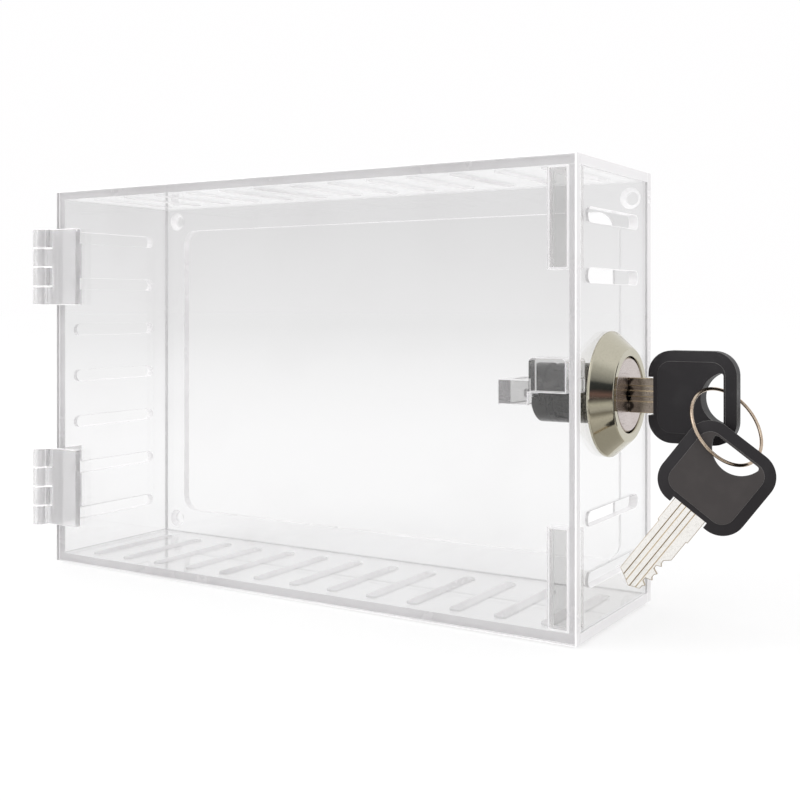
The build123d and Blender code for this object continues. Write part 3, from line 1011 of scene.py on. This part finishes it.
@dataclass
class CamLock:
    """The lock: collar, housing, plug and what turns with it."""

    fine_edge: float = 0.12 * MM
    broad_edge: float = 0.35 * MM
    keyway_reach: float = 5.6 * MM
    keyway_share: float = 0.5
    tail_length: float = 8.0 * MM

    def build(self) -> None:
        """Makes each piece of the lock."""
        satin = SATIN_NICKEL.build()
        bright = BRIGHT_NICKEL.build()
        steel = PIN_STEEL.build()
        dark = SHADED_LOCK_METAL.build()
        self._turned("lock_collar", "box", "satin_nickel", satin, self.broad_edge, 4)
        # The housing, bright nickel by its slot name, is painted near black as shade like the cam
        # parts.
        self._turned("lock_housing", "box", "bright_nickel", dark, self.fine_edge, 2)
        self._turned("lock_sleeve", "box", "cam_steel", dark, self.broad_edge, 3)
        self._turned("lock_nut", "box", "cam_steel", dark, self.broad_edge, 3)
        self._turned("stop_washer", "lock_core", "cam_steel", dark, self.broad_edge, 3)
        self._turned("cam", "lock_core", "cam_steel", dark, self.broad_edge, 3)
        self._turned("cam_screw", "lock_core", "pin_steel", steel, self.fine_edge, 2)
        self._plug(bright, PAINTED_KEYWAY_SHADE.build())
        dress("cam_washer", steel)
        dress("wafer_springs", steel)
        dress("lock_wafers", WAFER_BRASS.build())
        dress("catch_pin", steel)

    def _plug(self, metal: bpy.types.Material, keyway: bpy.types.Material) -> None:
        """Makes the plug, bright outside, with painted shade in its keyway.

        Args:
            metal: the finish of its face and barrel.
            keyway: the painted shade inside the keyway.
        """
        low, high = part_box("lock_plug")
        middle_y = (low[1] + high[1]) / 2
        middle_z = (low[2] + high[2]) / 2
        shape = softened("lock_plug", self.fine_edge)
        for face in shape.faces:
            place = face.calc_center_median()
            across = math.hypot(place.y - middle_y, place.z - middle_z)
            wall = across < self.keyway_reach and abs(face.normal.x) < self.keyway_share
            inside = wall and place.x > low[0] + self.tail_length
            face.material_index = PlugSurface.KEYWAY if inside else PlugSurface.METAL
        piece = show("lock_plug_metal", shape, [metal, keyway])
        even_normals(piece)
        stand_for(piece, "lock_core", "bright_nickel", "lock_plug")

    @staticmethod
    def _turned(
        node: str,
        body: str,
        slot: str,
        material: bpy.types.Material,
        edge: float,
        segments: int,
    ) -> None:
        """Makes one metal piece with rounded edges.

        Args:
            node: the CAD node.
            body: the body it rides on.
            slot: the record's material slot.
            material: its finish.
            edge: the width of its rounded edges.
            segments: faces across each rounded edge.
        """
        piece = show(f"{node}_metal", softened(node, edge, segments), [material])
        even_normals(piece)
        stand_for(piece, body, slot, node)


# -------------------------------------------------------------- keys and ring


class BladeSurface(IntEnum):
    """A blade's kinds of surface, as its material slots' places."""

    FLAT = 0
    CUT = 1


class HeadSurface(IntEnum):
    """A head's kinds of surface, as its material slots' places."""

    FIELD = 0
    BORDER = 1
    RIM_HIGHLIGHT = 2


@dataclass
class LockKey:
    """One key: a cut blade in a moulded head, whose raised field is between sloped borders."""

    number: int
    body: str
    flats: MetalFinish
    field: PlasticFinish
    blade_edge: float = 0.15 * MM
    head_edge: float = 0.55 * MM
    border_share: float = 0.93
    field_share: float = 0.995

    def build(
        self, cut: bpy.types.Material, border: bpy.types.Material, rim_highlight: bpy.types.Material
    ) -> None:
        """Makes the blade and the head.

        Args:
            cut: the finish of the blade's cuts, grooves and edges.
            border: the finish of the head's border and sides.
            rim_highlight: the painted highlight on the head's rounded edges.
        """
        name = f"key_{self.number}"
        shape = softened(f"{name}_blade", self.blade_edge)
        facing = max(shape.faces, key=lambda face: face.calc_area()).normal.copy()
        for face in shape.faces:
            flat = abs(face.normal.dot(facing)) > FLAT_SHARE
            face.material_index = BladeSurface.FLAT if flat else BladeSurface.CUT
        blade = show(f"{name}_blade_metal", shape, [self.flats.build(), cut])
        even_normals(blade)
        stand_for(blade, self.body, "bright_nickel", f"{name}_blade")
        shape = softened(f"{name}_head", self.head_edge, 4)
        for face in shape.faces:
            share = abs(face.normal.dot(facing))
            if share > self.field_share:
                face.material_index = HeadSurface.FIELD
            # Rounded rims between the field and the sides get the painted highlight.
            elif ROUNDED_SHARE < share < self.border_share:
                face.material_index = HeadSurface.RIM_HIGHLIGHT
            else:
                face.material_index = HeadSurface.BORDER
        head = show(f"{name}_head_moulding", shape, [self.field.build(), border, rim_highlight])
        even_normals(head)
        stand_for(head, self.body, "key_plastic", f"{name}_head")


# ------------------------------------------------------------------ the studio


@dataclass(frozen=True)
class CardShade:
    """One shade of the cards, at its elevation from the collar, in degrees."""

    elevation: float
    colour: Colour


CARD_SHADES = (
    CardShade(-55.0, (0.50, 0.48, 0.44)),
    CardShade(-34.0, (0.75, 0.72, 0.67)),
    CardShade(-27.0, (0.24, 0.22, 0.19)),
    CardShade(-21.0, (0.62, 0.60, 0.58)),
    CardShade(-14.0, (0.75, 0.74, 0.68)),
    CardShade(-6.0, (0.09, 0.075, 0.075)),
    CardShade(1.0, (0.25, 0.15, 0.14)),
    CardShade(8.0, (0.030, 0.034, 0.038)),
    CardShade(17.0, (0.055, 0.060, 0.065)),
    CardShade(21.0, (0.33, 0.33, 0.33)),
    CardShade(31.0, (0.56, 0.56, 0.55)),
    CardShade(48.0, (1.0, 1.0, 1.0)),
)


@dataclass
class CollarCards:
    """An upright card and one on the floor, which only polished surfaces reflect."""

    centre: Point = (0.109, -0.048, -0.003)
    bearing: float = -22.0
    distance: float = 1.0
    width: float = 1.1
    bottom: float = -0.066
    top: float = 1.10
    table_low: Point = (0.112, -0.56, -0.0700)
    table_high: Point = (1.05, 0.03, -0.0700)
    core: float = 10.0
    fade: float = 28.0

    def build(self) -> None:
        """Makes both cards."""
        upright = bmesh.new()
        bmesh.ops.create_grid(upright, x_segments=1, y_segments=1, size=0.5)
        bmesh.ops.scale(
            upright, vec=(self.width, self.top - self.bottom, 1.0), verts=upright.verts
        )
        bearing = math.radians(self.bearing)
        stand = Matrix.Rotation(math.radians(90.0), 3, "X")
        turn = Matrix.Rotation(math.radians(90.0) + bearing, 3, "Z")
        bmesh.ops.rotate(upright, cent=(0, 0, 0), matrix=turn @ stand, verts=upright.verts)
        way = Vector((math.cos(bearing), math.sin(bearing), 0.0)) * self.distance
        middle = Vector((self.centre[0], self.centre[1], (self.top + self.bottom) / 2)) + way
        bmesh.ops.translate(upright, vec=middle, verts=upright.verts)
        self._card("upright_card", upright, self._material("upright_shades", True))
        table = bmesh.new()
        bmesh.ops.create_grid(table, x_segments=1, y_segments=1, size=0.5)
        low, high = Vector(self.table_low), Vector(self.table_high)
        size = high - low
        bmesh.ops.scale(table, vec=(size.x, size.y, 1.0), verts=table.verts)
        bmesh.ops.translate(table, vec=(low + high) / 2, verts=table.verts)
        self._card("table_card", table, self._material("table_shades", False))

    def _material(self, name: str, faded: bool) -> bpy.types.Material:
        """Shades a card by its elevation, as seen from the collar.

        Args:
            name: the material's name.
            faded: whether the shades fade to white at the card's sides.

        Returns:
            The material.
        """
        material, shader, principled = new_material(name)
        away = shader.node("ShaderNodeVectorMath", operation="SUBTRACT")
        shader.join(shader.node("ShaderNodeTexCoord").outputs["Object"], away.inputs[0])
        away.inputs[1].default_value = self.centre
        parts = shader.node("ShaderNodeSeparateXYZ")
        shader.join(away.outputs[0], parts.inputs[0])
        flat = shader.node("ShaderNodeCombineXYZ")
        shader.join(parts.outputs["X"], flat.inputs["X"])
        shader.join(parts.outputs["Y"], flat.inputs["Y"])
        reach = shader.node("ShaderNodeVectorMath", operation="LENGTH")
        shader.join(flat.outputs[0], reach.inputs[0])
        angle = shader.math("ARCTAN2", parts.outputs["Z"], reach.outputs["Value"])
        lowest, highest = CARD_SHADES[0].elevation, CARD_SHADES[-1].elevation
        place = shader.remap(angle, 0.0, 1.0, math.radians(lowest), math.radians(highest))
        ramp = shader.node("ShaderNodeValToRGB")
        shades = ramp.color_ramp.elements
        for shade in CARD_SHADES[1:-1]:
            shades.new((shade.elevation - lowest) / (highest - lowest))
        for element, shade in zip(shades, CARD_SHADES):
            element.color = (*shade.colour, 1.0)
        shader.join(place, ramp.inputs["Fac"])
        principled.inputs["Base Color"].default_value = (0.0, 0.0, 0.0, 1.0)
        principled.inputs["Specular IOR Level"].default_value = 0.0
        colour = ramp.outputs["Color"]
        if faded:
            side = shader.math("ARCTAN2", parts.outputs["Y"], parts.outputs["X"])
            turned = shader.math("SUBTRACT", side, math.radians(self.bearing))
            aside = shader.remap(
                shader.math("ABSOLUTE", turned),
                0.0,
                1.0,
                math.radians(self.core),
                math.radians(self.fade),
            )
            colour = shader.mix(aside, colour, (1.0, 1.0, 1.0))
        shader.join(colour, principled.inputs["Emission Color"])
        principled.inputs["Emission Strength"].default_value = 1.0
        return material

    @staticmethod
    def _card(name: str, shape: bmesh.types.BMesh, material: bpy.types.Material) -> None:
        """Stands a card that neither lights nor shades, nor shows to the camera.

        Args:
            name: the card's name.
            shape: its mesh.
            material: its shaded material.
        """
        card = show(name, shape, [material])
        card.visible_camera = False
        card.visible_diffuse = False
        card.visible_transmission = False
        card.visible_shadow = False


@dataclass(frozen=True)
class Lamp:
    """One large soft lamp, which polished surfaces mirror or don't."""

    name: str
    place: Point
    size: float
    power: float
    mirrored: bool


LAMPS = (
    Lamp("key_light", (-0.7, -1.2, 1.3), 1.2, 7.0, True),
    Lamp("fill_light", (1.3, -0.6, 0.8), 1.0, 2.0, False),
)


@dataclass
class Studio:
    """Floor, light and camera."""

    camera_place: Point = (0.2340, -0.3626, 0.0256)
    camera_turn: float = 31.8
    lens: float = 51.5
    sensor_width: float = 36.0
    lens_shift: float = -0.1138
    near_clip: float = 0.01
    lamp_aim: Point = (0.0, -0.03, 0.0)
    floor_height: float = -0.0708
    floor_size: float = 40.0
    floor_shade: float = 0.40
    floor_rough: float = 0.9
    floor_lift: float = 0.42
    light_colour: Colour = (1.0, 0.995, 0.998)
    light_level: float = 0.90
    lamp_share: float = 1.02
    near_level: float = 0.955
    near_reach: float = 0.45
    far_reach: float = 6.0
    horizon_level: float = 0.805
    sky_level: float = 0.722
    sky_rise: float = 0.08

    def build(self) -> None:
        """Makes the whole studio."""
        self._camera()
        self._world()
        self._floor()
        CollarCards().build()
        self._lights()

    def _camera(self) -> None:
        """Stands the camera where the photograph was taken from."""
        data = bpy.data.cameras.new("camera")
        data.lens = self.lens
        data.sensor_width = self.sensor_width
        data.shift_y = self.lens_shift
        data.clip_start = self.near_clip
        camera = bpy.data.objects.new("camera", data)
        camera.location = self.camera_place
        camera.rotation_euler = (math.radians(90.0), 0.0, math.radians(self.camera_turn))
        bpy.context.scene.collection.objects.link(camera)
        bpy.context.scene.camera = camera

    def _background(
        self, shader: ShaderTree, lit: float, seen: float, through: bpy.types.NodeSocket
    ) -> bpy.types.NodeSocket:
        """Chooses a level by what kind of ray arrives.

        Args:
            shader: the world's or the floor's tree.
            lit: the level that lights the object.
            seen: the level seen directly, in reflections and in the plastic's bright edges.
            through: the level seen straight through clear plastic.

        Returns:
            The level's socket.
        """
        path = shader.node("ShaderNodeLightPath")
        plain = shader.math(
            "MAXIMUM", path.outputs["Is Camera Ray"], path.outputs["Is Glossy Ray"]
        )
        level = shader.choose(plain, lit, seen)
        turned = shader.math(
            "ADD", path.outputs["Glossy Depth"], path.outputs["Diffuse Depth"], clamp=True
        )
        behind = shader.choose(turned, through, seen)
        return shader.choose(path.outputs["Is Transmission Ray"], level, behind)

    def _world(self) -> None:
        """White surroundings, with a softer light level and a greyer sky seen through plastic."""
        world = bpy.data.worlds.new("studio")
        world.use_nodes = True
        bpy.context.scene.world = world
        shader = ShaderTree(world.node_tree)
        background = world.node_tree.nodes["Background"]
        background.inputs["Color"].default_value = (*self.light_colour, 1.0)
        direction = shader.node("ShaderNodeTexCoord").outputs["Generated"]
        parts = shader.node("ShaderNodeSeparateXYZ")
        shader.join(direction, parts.inputs[0])
        sky = shader.remap(
            parts.outputs["Z"], self.horizon_level, self.sky_level, 0.0, self.sky_rise
        )
        shader.join(
            self._background(shader, self.light_level, 1.0, sky), background.inputs["Strength"]
        )

    def _floor(self) -> None:
        """A plain pale floor under the box, greyer towards the horizon when seen through it."""
        shape = bmesh.new()
        bmesh.ops.create_grid(shape, x_segments=1, y_segments=1, size=self.floor_size / 2)
        bmesh.ops.translate(shape, vec=(0.0, 0.0, self.floor_height), verts=shape.verts)
        material, shader, principled = new_material("pale_floor")
        shade = self.floor_shade
        principled.inputs["Base Color"].default_value = (shade, shade, shade, 1.0)
        principled.inputs["Roughness"].default_value = self.floor_rough
        principled.inputs["Specular IOR Level"].default_value = 0.0
        principled.inputs["Emission Color"].default_value = (1.0, 1.0, 1.0, 1.0)
        length = shader.node("ShaderNodeVectorMath", operation="LENGTH")
        shader.join(shader.node("ShaderNodeTexCoord").outputs["Object"], length.inputs[0])
        distance = shader.math("LOGARITHM", length.outputs["Value"], 10.0)
        near = self.near_level - shade * self.lamp_share
        far = self.horizon_level - shade * self.light_level
        through = shader.remap(
            distance, near, far, math.log10(self.near_reach), math.log10(self.far_reach)
        )
        seen = 1.0 - shade * self.light_level
        shader.join(
            self._background(shader, self.floor_lift, seen, through),
            principled.inputs["Emission Strength"],
        )
        floor = show("floor", shape, [material])

    def _lights(self) -> None:
        """Hangs the lamps, aimed at the box."""
        for lamp in LAMPS:
            data = bpy.data.lights.new(lamp.name, "AREA")
            data.shape = "SQUARE"
            data.size = lamp.size
            data.energy = lamp.power
            hung = bpy.data.objects.new(lamp.name, data)
            hung.location = lamp.place
            hung.visible_glossy = lamp.mirrored
            aim = Vector(self.lamp_aim) - Vector(lamp.place)
            hung.rotation_euler = aim.to_track_quat("-Z", "Y").to_euler()
            bpy.context.scene.collection.objects.link(hung)


def main() -> None:
    """Builds the scene."""
    logging.basicConfig(level=logging.INFO, format="%(name)s: %(message)s")
    bpy.context.scene.view_settings.view_transform = "Standard"
    Studio().build()
    # The painted highlight, a glowing finish, for the rounded edges of sheets, blocks and hinges.
    highlight_edge = HIGHLIGHT_EDGE.build()
    ClearCase().build(highlight_edge)
    hinge_face = HINGE_FACE.build()
    for side in ("upper", "lower"):
        ClearHinge(side).build(hinge_face, highlight_edge)
    CamLock().build()
    key_materials = [finish.build() for finish in (KEY_CUT, KEY_PLASTIC, RIM_HIGHLIGHT_PLASTIC)]
    LockKey(1, "first_key", SHADED_KEY_NICKEL, HEAD_PLASTIC).build(*key_materials)
    LockKey(2, "spare_key", LIT_KEY_NICKEL, LIGHTER_FIELD_PLASTIC).build(*key_materials)
    dress("key_ring", RING_WIRE.build())


if __name__ == "__main__":
    main()
